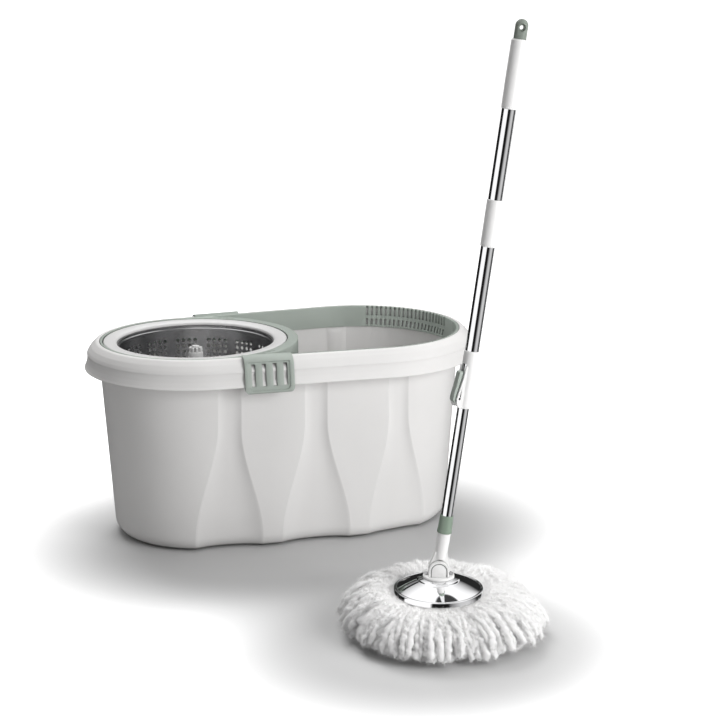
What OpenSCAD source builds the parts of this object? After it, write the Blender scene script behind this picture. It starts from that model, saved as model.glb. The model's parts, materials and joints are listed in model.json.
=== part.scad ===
// Spin mop: an oval two-lobe bucket with a spinner basket, and a hand-press mop that stands beside it.
// Millimetres, +Z up. The origin is on the floor, under the middle of the bucket's length.
// +X runs from the spinner end to the wash end, and the mop stands on the -Y side.

/* [Bucket] */
// Height of the rim's crest above the floor
bucket_h = 247.5; // [215:0.5:300]
// Radius of the crest round the spinner
spin_r = 121; // [112:0.5:146]
// Distance between the centres of the two round ends
lobe_gap = 216; // [190:1:260]
// How much larger the wash end's radius is than the spinner end's
wash_extra = 11; // [0:0.5:20]
// Wall thickness of the moulded tub
wall_t = 2.4; // [1.8:0.1:3.2]
// Thickness of the tub's floor
floor_t = 3; // [2:0.1:5]
// Radius of the corner between the wall and the floor
foot_round = 18; // [10:0.5:24]
// How far the wall under the rim stands inside the crest
wall_in = 4.5; // [4:0.1:8]
// How much further in the wall stands at the floor, at the two ends
end_draft = 14; // [8:0.5:20]
// The same draft in the middle of the long sides
side_draft = 5; // [2:0.5:12]

/* [Rim] */
// Overhang of the skirt's lower edge beyond the crest
skirt_out = 17.6; // [14:0.1:22]
// Height of the rim from the crest down to the skirt's lower edge
skirt_h = 34; // [28:0.5:42]
// Depth of the shoulder's crease below the crest
shoulder_h = 15.4; // [12:0.1:18]
// Overhang of the shoulder beyond the crest
shoulder_out = 14.4; // [12:0.1:15]
// Width of the seat for the splash guard, inside the crest
seat_w = 1.8; // [1.2:0.1:2.4]

/* [Flutes] */
// Distance between the flutes along the rim
flute_pitch = 111.5; // [100:0.5:125]
// Width of a flute under the rim
flute_top_w = 24; // [18:0.5:32]
// Width of a flute at the floor
flute_foot_w = 78; // [50:1:90]
// Depth of a flute under the rim
flute_top_d = 2.6; // [1:0.1:4]
// Depth of a flute at the floor
flute_foot_d = 8.5; // [3:0.1:10]

/* [Splash guard] */
// Wall thickness of the guard
guard_t = 2; // [1.4:0.1:3]
// Height of the band inside the rim
band_h = 28; // [22:0.5:32]
// Gap between the guard and the tub
guard_gap = 0.3; // [0.2:0.05:0.6]
// Width of the web between the spinner well and the wash opening
web_w = 11; // [8:0.5:18]
// Number of slots in a row of the grille
grille_count = 21; // [8:1:24]
// Distance between slots along the rim
grille_pitch = 6.75; // [5:0.05:8]
// Width of a slot
grille_w = 3.2; // [2:0.1:4]
// Width of a saddle clip along the rim
clip_w = 60; // [48:1:72]
// Distance from the start of the straight side to the clip's middle
clip_at = 64; // [55:1:90]

/* [Spinner] */
// Gap round the turning ring
ring_gap = 1; // [0.6:0.1:2]
// Width of the ring's flat top
ring_w = 17; // [12:0.5:24]
// Depth of the basket below the crest
basket_depth = 97; // [70:1:120]
// Thickness of the basket's sheet steel
sheet_t = 0.8; // [0.5:0.1:1.2]
// Number of hole groups round the basket
hole_groups = 15; // [8:1:16]
// Number of rows of holes
hole_rows = 5; // [2:1:6]
// Diameter of a drain hole in the basket
hole_d = 4.7; // [3:0.1:5.5]
// Diameter of the post in the basket
post_d = 18.4; // [16:0.2:24]
// Diameter of the spindle pin
pin_d = 8; // [6:0.5:10]
// Radial clearance of every turning or sliding fit
run_gap = 0.05; // [0.02:0.01:0.1]

/* [Mop head] */
// Distance of the mop from the bucket's middle along X
mop_x = 50; // [-150:1:150]
// Distance of the mop from the bucket's middle along -Y
mop_out = 426; // [340:1:500]
// Turn of the mop about its own upright
mop_yaw = -18.7; // [-90:0.1:90]
// Diameter of the round plate
plate_d = 96.5; // [84:0.5:116]
// Height of the plate's rim above the floor
plate_z = 45; // [36:0.5:60]
// Height of the plate's dome
dome_h = 17.6; // [12:0.2:24]
// Diameter of the fringe as it lies on the floor
fringe_d = 226; // [190:1:280]
// Height of the hinge axis above the floor
hinge_z = 71.6; // [66:0.1:86]
// Diameter of the hinge ears
ear_d = 21.4; // [18:0.2:26]
// Diameter of the hinge pin
hinge_d = 4.6; // [3:0.1:6]

/* [Handle] */
// Lean of the handle
handle_tilt = 7.6; // [0:0.1:20]
// Diameter of the lower tube
stem_d = 12.8; // [11.5:0.1:15.4]
// Wall of each metal tube
tube_t = 0.6; // [0.4:0.05:0.8]
// Gap between the lower tube and the tube that slides over it
tube_gap = 0.3; // [0.2:0.05:0.6]
// Visible length of the lower tube, from the green collar to the clamp
stem_show = 120.5; // [100:0.5:160]
// Length of the clamp
clamp_len = 62; // [52:1:76]
// Visible length of the middle tube
middle_show = 111; // [90:1:140]
// Length of the joint collar
joint_len = 49; // [40:1:60]
// Visible length of the upper tube
upper_show = 93; // [75:1:120]
// Length of the grip
grip_len = 70; // [56:1:84]
// Length of the end cap beyond the grip
cap_len = 20; // [16:0.5:26]
// Diameter of the eye that the mop hangs by
eye_d = 4.4; // [3:0.1:5]

/* [Press drive] */
// Height that the rod climbs in one full turn
drive_lead = 110; // [80:1:140]
// Width of the flat twisted rod
rod_w = 6; // [5:0.1:7]
// Thickness of the flat twisted rod
rod_t = 2; // [1.6:0.1:2.6]
// Clearance between the rod and the nut's slot
rod_gap = 0.25; // [0.15:0.05:0.4]
// Stroke of the handle below its rest place
press_down = 100; // [80:1:110]
// Stroke of the handle above its rest place
press_up = 200; // [150:1:205]

/* [Hidden] */

white = [0.93, 0.93, 0.92];
sage = [0.66, 0.72, 0.66];
dark_sage = [0.45, 0.49, 0.45];
steel = [0.62, 0.62, 0.63];
chrome = [0.80, 0.80, 0.82];
fluff = [0.95, 0.94, 0.93];
$fn = 96;

// Plan of the crest: two arcs joined by straight sides
wash_r = spin_r + wash_extra;
spin_x = -(lobe_gap + wash_r - spin_r) / 2;
wash_x = spin_x + lobe_gap;
side_lean = asin((wash_r - spin_r) / lobe_gap);
spin_arc = 90 - side_lean;
wash_arc = 90 + side_lean;
spin_len = spin_r * spin_arc * PI / 180;
side_len = lobe_gap * cos(side_lean);
wash_len = wash_r * wash_arc * PI / 180;
half_len = spin_len + side_len + wash_len;

// Heights and insets of the rim
crest_z = bucket_h;
wall_top_z = crest_z - skirt_h;
lip_in = 1.6;
seat_z = crest_z - 3.7;
seat_in = lip_in + seat_w;
throat_z = crest_z - 13.5;
flare_z = crest_z - band_h;
flute_edge = 3;
flute_neck_z = wall_top_z * 0.75;
flute_foot_z = wall_top_z * 0.07;

function mix(a, b, k) = a + (b - a) * k;
function smooth(x) = let (c = min(1, max(0, x))) c * c * (3 - 2 * c);

// Outward direction at distance t along the crest, from the spinner end round the front
function turn(t) =
    t < spin_len ? 180 + t / spin_len * spin_arc
    : t < spin_len + side_len ? 180 + spin_arc
    : 180 + spin_arc + (t - spin_len - side_len) / wash_len * wash_arc;

// Point at distance t along the crest, moved out by d
function crest_point(t, d) =
    let (
        a = turn(t),
        out = [cos(a), sin(a)],
        along = min(side_len, max(0, t - spin_len))
    )
    t < spin_len + side_len
        ? [spin_x, 0] + (spin_r + d) * out + along * [-sin(a), cos(a)]
        : [wash_x, 0] + (wash_r + d) * out;

// ---------------------------------------------------------------- tub

function flute_half(z) =
    mix(flute_top_w, flute_foot_w, smooth((flute_neck_z - z) / (flute_neck_z - flute_foot_z))) / 2;

function flute_depth(z) =
    z > flare_z ? 0
    : z > wall_top_z ? flute_top_d * (flare_z - z) / (flare_z - wall_top_z)
    : mix(flute_foot_d, flute_top_d, z / wall_top_z);

function draft(z, t) =
    let (k = 1 - min(1, z / wall_top_z), side = pow(sin(180 * t / half_len), 2))
    -wall_in - k * mix(end_draft, side_draft, side);

// Stations round half of the outline at height z: [distance along the crest, share of the flute's depth]
end_steps = 12;
panel_steps = 4;
function flute_at(i) = half_len / 2 + (i - 1) * flute_pitch;
function flute_stations(i, w) =
    let (c = flute_at(i))
    [[c - w, 0], [c - w + flute_edge, 1], [c - w / 2, 1], [c, 1],
     [c + w / 2, 1], [c + w - flute_edge, 1], [c + w, 0]];
function panel_stations(i, w) =
    [for (k = [1:panel_steps - 1]) [mix(flute_at(i) + w, flute_at(i + 1) - w, k / panel_steps), 0]];
function half_stations(z) =
    let (w = flute_half(z))
    concat(
        [for (k = [0:end_steps - 1]) [k / end_steps * (flute_at(0) - w), 0]],
        flute_stations(0, w), panel_stations(0, w),
        flute_stations(1, w), panel_stations(1, w),
        flute_stations(2, w),
        [for (k = [1:end_steps]) [mix(flute_at(2) + w, half_len, k / end_steps), 0]]
    );

// One closed ring of points at height z, moved out by d from the drafted wall; the skirt has no flutes
function ring_at(z, d) =
    let (
        half = half_stations(z),
        n = len(half),
        deep = d > 0 ? 0 : flute_depth(z),
        front = [for (s = half) crest_point(s[0], draft(z, s[0]) + d - s[1] * deep)],
        back = [for (k = [n - 2:-1:1]) [front[k][0], -front[k][1]]]
    )
    [for (p = concat(front, back)) [p[0], p[1], z]];

// The wall's section as [height, distance out from the drafted wall face], from foot to crest to inner floor
wall_levels = [0.17, 0.27, 0.37, 0.47, 0.58, 0.70, 0.84];
foot_section = [for (a = [0:22.5:90]) [foot_round * (1 - cos(a)), -foot_round * (1 - sin(a))]];
inner_round = foot_round - wall_t;
inner_foot_section =
    [for (a = [90:-30:0]) [floor_t + inner_round * (1 - cos(a)), -wall_t - inner_round * (1 - sin(a))]];
function from_crest(out, down) = [crest_z - down, out + wall_in];
rim_section = [
    from_crest(-wall_in, crest_z - flare_z), from_crest(wall_t - seat_in, crest_z - throat_z),
    from_crest(wall_t - seat_in, 4.4), from_crest(3, 3.4), from_crest(8, 5.2), from_crest(10.4, 9),
    from_crest(shoulder_out - 2.8, shoulder_h), from_crest(shoulder_out - 2.9, shoulder_h + 3.2),
    from_crest(skirt_out - 5.4, skirt_h - 10), from_crest(skirt_out - wall_t, skirt_h),
    from_crest(skirt_out, skirt_h), from_crest(skirt_out, skirt_h - 1.6),
    from_crest(skirt_out - 1, skirt_h - 3), from_crest(skirt_out - 3, skirt_h - 9),
    from_crest(shoulder_out - 0.6, shoulder_h + 4), from_crest(shoulder_out - 0.6, shoulder_h + 1.4),
    from_crest(shoulder_out, shoulder_h), from_crest(shoulder_out - 0.4, shoulder_h - 2.4),
    from_crest(shoulder_out - 1.6, shoulder_h - 6.8), from_crest(11, 5), from_crest(8.4, 2.6),
    from_crest(4, 0.7), from_crest(0.4, 0),
    from_crest(-lip_in, 0.6), from_crest(-lip_in, crest_z - seat_z), from_crest(-seat_in, crest_z - seat_z),
    from_crest(-seat_in, crest_z - throat_z), from_crest(-wall_in - wall_t, crest_z - flare_z)
];
tub_section = concat(
    foot_section,
    [for (k = wall_levels) [k * wall_top_z, 0]],
    [[wall_top_z, 0]],
    rim_section,
    [[wall_top_z, -wall_t]],
    [for (k = [len(wall_levels) - 1:-1:0]) [wall_levels[k] * wall_top_z, -wall_t]],
    inner_foot_section
);

// Triangles between neighbouring rings of n points, from ring a to ring b
function skin(n, a, b) = [
    for (j = [0:n - 1])
        let (k = (j + 1) % n)
        each [[a * n + j, b * n + j, b * n + k], [a * n + j, b * n + k, a * n + k]]
];

module tub_shell() {
    rings = [for (s = tub_section) ring_at(s[0], s[1])];
    n = len(rings[0]);
    m = len(rings);
    bottom = [for (j = [0:n - 1]) j];
    inside = [for (j = [n - 1:-1:0]) (m - 1) * n + j];
    polyhedron(
        points = [for (r = rings) each r],
        faces = concat([bottom], [for (k = [0:m - 2]) each skin(n, k, k + 1)], [inside]),
        convexity = 12
    );
}

// Ribbed tower that carries a pin, welded to the tub's floor by its round foot
module tower(x, top_z, top_r, foot_r, bore_r, bore_deep) {
    rib_count = 6;
    rib_t = 2.4;
    foot_t = 2;
    h = top_z - floor_t;
    translate([x, 0, floor_t])
        difference() {
            union() {
                cylinder(h = foot_t, r = foot_r + 3);
                cylinder(h = h, r1 = foot_r * 0.62, r2 = top_r);
                for (k = [0:rib_count - 1])
                    rotate([90, 0, k * 360 / rib_count])
                        translate([0, 0, -rib_t / 2])
                            linear_extrude(rib_t)
                                polygon([[0, foot_t / 2], [foot_r, foot_t / 2], [top_r, h * 0.86], [0, h * 0.86]]);
            }
            translate([0, 0, h - bore_deep])
                cylinder(h = bore_deep + 1, r = bore_r);
        }
}

spin_tower_z = 96;
spin_bore_deep = 36;
wash_tower_z = 22;
wash_pin_d = 6;
wash_bore_deep = 15;
pin_fit = 0.04;

module tub() {
    color(white)
        tub_shell();
}

module spin_tower() {
    color(white)
        tower(spin_x, spin_tower_z, 12, 34, pin_d / 2 + pin_fit, spin_bore_deep);
}

module wash_tower() {
    color(white)
        tower(wash_x, wash_tower_z, 10, 30, wash_pin_d / 2 + pin_fit, wash_bore_deep);
}

// ---------------------------------------------------------------- splash guard

// A section [out from the crest, height] run along a straight side, from a to b past its start
module along_side(a, b) {
    translate([spin_x, 0, 0])
        rotate([90, 0, 90 + side_lean])
            translate([spin_r, 0, a])
                linear_extrude(b - a)
                    children();
}

module both_sides() {
    children();
    mirror([0, 1, 0])
        children();
}

// Moves children to distance t along the crest on the -Y side, with +X pointing outward
module at_crest(t) {
    p = crest_point(t, 0);
    translate([p[0], p[1], 0])
        rotate([0, 0, turn(t)])
            children();
}

well_r = spin_r - seat_in - guard_gap - guard_t + 0.6;
ring_r = well_r - ring_gap;
throat_r = ring_r - ring_w;
shelf_hole_r = throat_r + 6.2;
web_r = well_r + guard_t + web_w;
guard_top_z = crest_z - 0.5;
guard_seat_z = seat_z + 0.1;
band_low_z = crest_z - band_h;
band_top_in = seat_in + guard_gap;
band_low_in = wall_in + wall_t + guard_gap + 0.2;
open_in = band_top_in + guard_t;
flange_in = lip_in + guard_gap;
shelf_z = crest_z - 11;

// Section of the guard's flange and band, as [height, distance out from the crest]
guard_section = [
    [guard_seat_z, -flange_in], [guard_top_z - 0.6, -flange_in], [guard_top_z, -flange_in - 0.6],
    [guard_top_z, -open_in + 0.9], [guard_top_z - 0.3, -open_in + 0.2], [guard_top_z - 0.9, -open_in],
    [throat_z, -open_in], [band_low_z, -band_low_in - guard_t], [band_low_z, -band_low_in],
    [throat_z + 0.2, -band_top_in], [guard_seat_z, -band_top_in]
];

module guard_loop() {
    half = [for (s = half_stations(crest_z)) s[0]];
    rings = [
        for (g = guard_section)
            let (front = [for (t = half) crest_point(t, g[1])])
            [
                for (p = front) [p[0], p[1], g[0]],
                for (k = [len(half) - 2:-1:1]) [front[k][0], -front[k][1], g[0]]
            ]
    ];
    n = len(rings[0]);
    m = len(rings);
    polyhedron(
        points = [for (r = rings) each r],
        faces = [for (k = [0:m - 1]) each skin(n, k, (k + 1) % m)],
        convexity = 8
    );
}

// Grille slots: two rows on each side of the wash end
module grille_cuts() {
    tip_gap = 17;
    upper = [crest_z - 13, guard_top_z + 1];
    lower = [crest_z - 25.5, crest_z - 17.5];
    inner = band_low_in + guard_t + 4;
    outer = band_top_in - 0.3;
    for (k = [0:grille_count - 1])
        at_crest(half_len - tip_gap - k * grille_pitch)
            for (row = [upper, lower])
                translate([-inner, -grille_w / 2, row[0]])
                    cube([inner - outer, grille_w, row[1] - row[0]]);
}

clip_lift = 2.3;
clip_thin = 1.3;
clip_low_z = wall_top_z - 8;

// Outer line of a saddle clip that stands proud of the rim by p, from the flange down to the hook
function clip_line(p) = [
    [-1, crest_z + p], [0.6, crest_z + p], [4.5, crest_z - 0.7 + p], [9 + p / 3, crest_z - 2.6 + p / 1.15],
    [11.3 + p / 1.5, crest_z - 5 + p / 1.4], [shoulder_out - 1.4 + p / 1.15, crest_z - shoulder_h + 6.8 + p / 3],
    [shoulder_out - 0.2 + p, crest_z - shoulder_h + 2.4], [shoulder_out + 0.2 + p, crest_z - shoulder_h],
    [skirt_out - 0.6 + p, wall_top_z + 3], [skirt_out + 0.2 + p, wall_top_z + 1.2]
];

module clip_section() {
    g = guard_gap;
    p = clip_lift;
    polygon(concat(
        [[-band_top_in - 0.8, guard_seat_z + 1]],
        clip_line(p),
        [
            [skirt_out + 0.2 + p, clip_low_z + 1.2], [skirt_out - 0.6, clip_low_z],
            [skirt_out - 4, clip_low_z + 2.8], [skirt_out - 4, wall_top_z - g], [skirt_out + g, wall_top_z - g],
            [skirt_out + g, wall_top_z + 1.8], [skirt_out - 0.6, wall_top_z + 3.1],
            [shoulder_out + g + 0.05, crest_z - shoulder_h], [shoulder_out - 0.35 + g, crest_z - shoulder_h + 2.4],
            [shoulder_out - 1.5 + g, crest_z - shoulder_h + 6.9], [11 + g, crest_z - 4.8], [8.5, crest_z - 2.6 + g],
            [4.1, crest_z - 0.7 + g], [0.5, crest_z + g],
            [-lip_in - 0.1, crest_z - 0.1], [-lip_in - 0.9, guard_seat_z + 1]
        ]
    ));
}

// What the recessed panel takes off the clip's outside
module clip_recess() {
    line = clip_line(clip_thin);
    polygon([
        for (k = [4:9]) line[k],
        [line[9][0], wall_top_z - 20], [skirt_out + 20, wall_top_z - 20], [skirt_out + 20, line[4][1]]
    ]);
}

// Side outline of a clip, seen from outside: x along the rim, y up
module clip_outline(inset) {
    w = clip_w - 2 * inset;
    low = clip_low_z - 1 + inset;
    r = 8 - inset / 2;
    translate([-w / 2 + r, low + r])
        circle(r = r);
    translate([w / 2 - r, low + r])
        circle(r = r);
    translate([-w / 2 + r, low])
        square([w - 2 * r, crest_z - low]);
    translate([-w / 2, low + r])
        square([w, crest_z + clip_lift + 1 - low - r]);
}

module clip_window(inset) {
    translate([spin_x, 0, 0])
        rotate([0, 0, side_lean])
            translate([clip_at, spin_r + 60, 0])
                rotate([90, 0, 0])
                    linear_extrude(90)
                        clip_outline(inset);
}

module clip() {
    slot_w = 5;
    slot_pitch = 13;
    slot_low = wall_top_z + 1;
    slot_high = crest_z - 6.5;
    border = 5;
    difference() {
        intersection() {
            along_side(clip_at - clip_w / 2 - 1, clip_at + clip_w / 2 + 1)
                clip_section();
            clip_window(0);
        }
        intersection() {
            along_side(clip_at - clip_w / 2, clip_at + clip_w / 2)
                clip_recess();
            clip_window(border);
        }
        for (k = [-1.5:1:1.5])
            translate([spin_x, 0, 0])
                rotate([0, 0, side_lean])
                    translate([clip_at + k * slot_pitch - slot_w / 2, spin_r + 5, slot_low])
                        cube([slot_w, 30, slot_high - slot_low]);
    }
}

// Three slanted slits through the web beside the ring
module slit_cuts() {
    slit_len = 11;
    slit_w = 1.5;
    for (k = [0:2])
        translate([spin_x, 0, 0])
            rotate([0, 0, 90 - 27 - k * 4.2])
                translate([well_r + guard_t + 3.6, 0, crest_z])
                    rotate([0, 0, -62])
                        cube([slit_len, slit_w, 12], center = true);
}

// Everything on the near side of the band's middle, from well past the far side
module inside_of_band() {
    far = -2 * spin_r;
    top_in = -band_top_in - 1;
    low_in = -band_low_in - 1;
    along_side(4, side_len)
        polygon([
            [far, band_low_z - 1], [low_in, band_low_z - 1], [low_in, band_low_z],
            [top_in, throat_z], [top_in, guard_top_z + 1], [far, guard_top_z + 1]
        ]);
}

// Web between the well and the wash opening, with a skirt under its edge
module web() {
    intersection() {
        translate([spin_x, 0, 0])
            rotate_extrude()
                polygon([
                    [web_r - guard_t, band_low_z + 0.3], [web_r, band_low_z + 0.3], [web_r, guard_top_z - 1.1],
                    [web_r - 0.8, guard_top_z - 0.2], [well_r + 0.7, guard_top_z - 0.2],
                    [well_r + 0.7, guard_seat_z - 0.2], [web_r - guard_t, guard_seat_z - 0.2]
                ]);
        inside_of_band();
        mirror([0, 1, 0])
            inside_of_band();
    }
}

// Well round the ring, with a shelf and a drip skirt
module well() {
    translate([spin_x, 0, 0])
        rotate_extrude()
            polygon([
                [well_r, guard_top_z - 0.5], [well_r + 0.3, guard_top_z - 0.2],
                [well_r + guard_t - 0.6, guard_top_z - 0.2], [well_r + guard_t - 0.6, shelf_z - 2],
                [shelf_hole_r + guard_t, shelf_z - 2], [shelf_hole_r + guard_t, shelf_z - 16],
                [shelf_hole_r, shelf_z - 16], [shelf_hole_r, shelf_z], [well_r, shelf_z]
            ]);
}

module splash_guard() {
    color(sage)
        difference() {
            union() {
                difference() {
                    guard_loop();
                    // the loop opens for the well, and its band ends inside the web's skirt
                    translate([spin_x, 0, band_low_z - 1])
                        cylinder(h = band_h + 2, r = well_r + 0.4);
                    translate([spin_x, 0, band_low_z - 1])
                        cylinder(h = guard_seat_z + 0.2 - band_low_z + 1, r = web_r - guard_t + 0.8);
                }
                web();
                well();
                both_sides()
                    clip();
            }
            both_sides()
                grille_cuts();
            both_sides()
                slit_cuts();
        }
}

// ---------------------------------------------------------------- spinner

basket_r = throat_r - 0.6;
basket_low_z = crest_z - basket_depth;
basket_top_z = crest_z - 6.4;
post_top_z = crest_z - 10.5;
hub_r = 34;
hub_t = 3;
hub_sleeve_r = 11.4;
bush_t = 1.6;
bush_len = 14;
bush_r = pin_d / 2 + run_gap + bush_t;
pin_top_z = basket_low_z + 62;
hub_low_z = spin_tower_z + 3;

module at_spinner() {
    translate([spin_x, 0, 0])
        children();
}

module basket_ring() {
    skirt_r = shelf_hole_r - 1.2;
    color(white)
        at_spinner()
            rotate_extrude()
                polygon([
                    [throat_r, crest_z - 4.8], [throat_r + 0.9, crest_z - 3.1], [throat_r + 3, crest_z - 1.9],
                    [ring_r - 4, crest_z - 0.9], [ring_r - 1.4, crest_z - 1.1], [ring_r - 0.3, crest_z - 1.9],
                    [ring_r, crest_z - 3.2], [ring_r, crest_z - 6.4], [ring_r - 1.8, crest_z - 6.4],
                    [ring_r - 2.4, crest_z - 4.6], [skirt_r, crest_z - 5.2], [skirt_r, crest_z - 24],
                    [skirt_r - 1.8, crest_z - 24], [skirt_r - 1.8, basket_top_z],
                    [throat_r + 0.6, basket_top_z]
                ]);
}

module spin_basket() {
    groups = hole_groups;
    columns = 4;
    pitch_a = 4.55;
    row_pitch = 7.6;
    first_row = 25;
    floor_holes = 18;
    color(steel)
        at_spinner()
            difference() {
                rotate_extrude()
                    polygon([
                        [basket_r - sheet_t, basket_top_z], [basket_r - sheet_t, crest_z - 9],
                        [basket_r - sheet_t - 1, crest_z - 9.8], [basket_r - sheet_t - 1, crest_z - 11],
                        [basket_r - sheet_t, crest_z - 11.8], [basket_r - 3, basket_low_z + 9],
                        [basket_r - 5.2, basket_low_z + 3.4], [basket_r - 9, basket_low_z + sheet_t],
                        [post_d / 2 + 2.2, basket_low_z + sheet_t], [post_d / 2 + 2.2, basket_low_z],
                        [basket_r - 8.6, basket_low_z], [basket_r - 4.2, basket_low_z + 2.8],
                        [basket_r - 2.2, basket_low_z + 9], [basket_r + 0.2, crest_z - 12],
                        [basket_r, crest_z - 9], [basket_r, basket_top_z - sheet_t],
                        [basket_r + 3, basket_top_z - sheet_t], [basket_r + 3, basket_top_z]
                    ]);
                for (g = [0:groups - 1], c = [0:columns - 1], row = [0:hole_rows - 1])
                    rotate([0, 0, (g + 0.5) * 360 / groups + (c - (columns - 1) / 2) * pitch_a])
                        translate([basket_r - 8, 0, crest_z - first_row - row * row_pitch])
                            rotate([0, 90, 0])
                                cylinder(h = 16, d = hole_d, $fn = 24);
                for (k = [0:floor_holes - 1])
                    rotate([0, 0, k * 360 / floor_holes])
                        translate([hub_r + 18 + (k % 2) * 16, 0, basket_low_z - 1])
                            cylinder(h = 4, d = hole_d, $fn = 24);
                for (k = [0:3])
                    rotate([0, 0, 45 + k * 90])
                        translate([hub_r - 9, 0, basket_low_z - 1])
                            cylinder(h = 4, r = screw_r + 0.2);
            }
}

screw_r = 1.9;
post_base_r = 31;

// Central post: a foot on the basket's floor, a tapered column and a toothed top
module basket_post() {
    tooth_count = 8;
    top = post_top_z;
    base = basket_low_z + sheet_t;
    color(white)
        at_spinner()
            difference() {
                union() {
                    rotate_extrude()
                        polygon([
                            [0, base], [post_base_r, base], [post_base_r, base + 3],
                            [post_base_r - 1.5, base + 4.5], [post_d / 2 + 5, base + 6],
                            [post_d / 2 + 1.2, base + 12], [post_d / 2, base + 22], [post_d / 2, top - 9],
                            [post_d / 2 - 0.8, top - 7.5], [post_d / 2 - 2.4, top - 7], [0, top - 7]
                        ]);
                    for (k = [0:tooth_count - 1])
                        rotate([0, 0, k * 360 / tooth_count])
                            translate([post_d / 2 - 4.4, -1.6, top - 8])
                                cube([3.4, 3.2, 6]);
                    translate([0, 0, top - 8])
                        cylinder(h = 8, r1 = post_d / 2 - 4, r2 = post_d / 2 - 5);
                }
                translate([0, 0, basket_low_z - 1])
                    cylinder(h = pin_top_z - basket_low_z + 3, r = bush_r);
                for (k = [0:3])
                    rotate([0, 0, 45 + k * 90])
                        translate([hub_r - 9, 0, base - 1])
                            cylinder(h = 4.2, r = screw_r);
            }
}

// Flange under the basket's floor, with the sleeve that runs down over the spindle pin
module hub_flange() {
    color(white)
        at_spinner()
            difference() {
                rotate_extrude()
                    polygon([
                        [bush_r, hub_low_z], [hub_sleeve_r, hub_low_z], [hub_sleeve_r, basket_low_z - hub_t - 10],
                        [hub_sleeve_r + 8, basket_low_z - hub_t], [hub_r, basket_low_z - hub_t],
                        [hub_r, basket_low_z], [bush_r, basket_low_z]
                    ]);
                for (k = [0:3])
                    rotate([0, 0, 45 + k * 90])
                        translate([hub_r - 9, 0, basket_low_z - hub_t - 8])
                            cylinder(h = hub_t + 9, r = screw_r + 0.2);
            }
}

module hub_screws() {
    head_h = 2;
    color(steel)
        at_spinner()
            for (k = [0:3])
                rotate([0, 0, 45 + k * 90])
                    translate([hub_r - 9, 0, basket_low_z - hub_t - head_h]) {
                        cylinder(h = head_h, r1 = 2.8, r2 = 3.6);
                        cylinder(h = head_h + hub_t + sheet_t + 3, r = screw_r);
                    }
}

module bearing_bushes() {
    color("peru")
        at_spinner()
            for (z = [hub_low_z, pin_top_z - bush_len - 4])
                translate([0, 0, z])
                    difference() {
                        cylinder(h = bush_len, r = bush_r);
                        translate([0, 0, -1])
                            cylinder(h = bush_len + 2, r = pin_d / 2 + run_gap);
                    }
}

module spindle_pin() {
    low = spin_tower_z - spin_bore_deep;
    color(steel)
        at_spinner()
            rotate_extrude()
                polygon([
                    [0, low], [pin_d / 2, low], [pin_d / 2, pin_top_z - 2], [pin_d / 2 - 1.6, pin_top_z],
                    [0, pin_top_z]
                ]);
}

// ---------------------------------------------------------------- wash side

rotor_r = 27;
rotor_low_z = wash_tower_z + 2;
rotor_h = 34;
rotor_bore_h = 26;

module wash_pin() {
    low = wash_tower_z - wash_bore_deep;
    high = rotor_low_z + rotor_bore_h - 1.5;
    color(steel)
        translate([wash_x, 0, 0])
            rotate_extrude()
                polygon([
                    [0, low], [wash_pin_d / 2, low], [wash_pin_d / 2, high - 1.5], [wash_pin_d / 2 - 1.2, high],
                    [0, high]
                ]);
}

// Turning post that the mop head docks on while it is rinsed
module wash_rotor() {
    vane_count = 6;
    z = rotor_low_z;
    top = z + rotor_h;
    color(white)
        translate([wash_x, 0, 0])
            difference() {
                union() {
                    rotate_extrude()
                        polygon([
                            [0, z], [rotor_r, z], [rotor_r, z + 2.4], [post_d / 2 + 4, z + 5],
                            [post_d / 2, z + 10], [post_d / 2 - 0.6, top - 6], [post_d / 2 - 2.4, top - 5],
                            [post_d / 2 - 4, top], [0, top]
                        ]);
                    for (k = [0:vane_count - 1])
                        rotate([0, 0, k * 360 / vane_count])
                            translate([post_d / 2 - 1, -1.1, z + 1])
                                cube([rotor_r - post_d / 2, 2.2, 7]);
                }
                translate([0, 0, z - 1])
                    cylinder(h = rotor_bore_h + 1, r = wash_pin_d / 2 + run_gap);
            }
}

// ---------------------------------------------------------------- mop head

plate_r = plate_d / 2;
plate_t = 1;
band_tall = 5.6;
disc_r = 17;
disc_t = 2.6;
plate_screw_out = disc_r - 3.8;
disc_z = plate_z + dome_h;
tongue_t = 8.6;
ear_gap = 0.35;
ear_t = 4;
fringe_h = plate_z + 13;

module at_mop() {
    translate([mop_x, -mop_out, 0])
        rotate([0, 0, mop_yaw])
            children();
}

module fringe() {
    r = fringe_d / 2;
    h = fringe_h;
    color(fluff)
        at_mop()
            rotate_extrude()
                polygon([
                    [0, 0], [r * 0.76, 0], [r * 0.9, h * 0.1], [r * 0.985, h * 0.32], [r, h * 0.5],
                    [r * 0.94, h * 0.76], [r * 0.82, h * 0.93], [r * 0.68, h], [r * 0.56, h * 0.97],
                    [plate_r + 1.4, h * 0.86], [plate_r + 0.8, plate_z - 2], [0, plate_z - 2]
                ]);
}

// Backing disc that the strands are looped through; it clips into the plate
module fringe_disc() {
    color(white)
        at_mop()
            difference() {
                rotate_extrude()
                    polygon([
                        [13, plate_z - 2], [plate_r - 2.2, plate_z - 2], [plate_r - 2.2, plate_z + 0.6],
                        [plate_r - 6, plate_z + 0.6], [plate_r - 6, plate_z + 3], [plate_r - 8, plate_z + 3],
                        [plate_r - 8, plate_z + 0.6], [13, plate_z + 0.6]
                    ]);
                for (k = [0:11])
                    rotate([0, 0, k * 30])
                        translate([plate_r - 15, 0, plate_z - 3])
                            cylinder(h = 5, r = 2.4, $fn = 24);
            }
}

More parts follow.
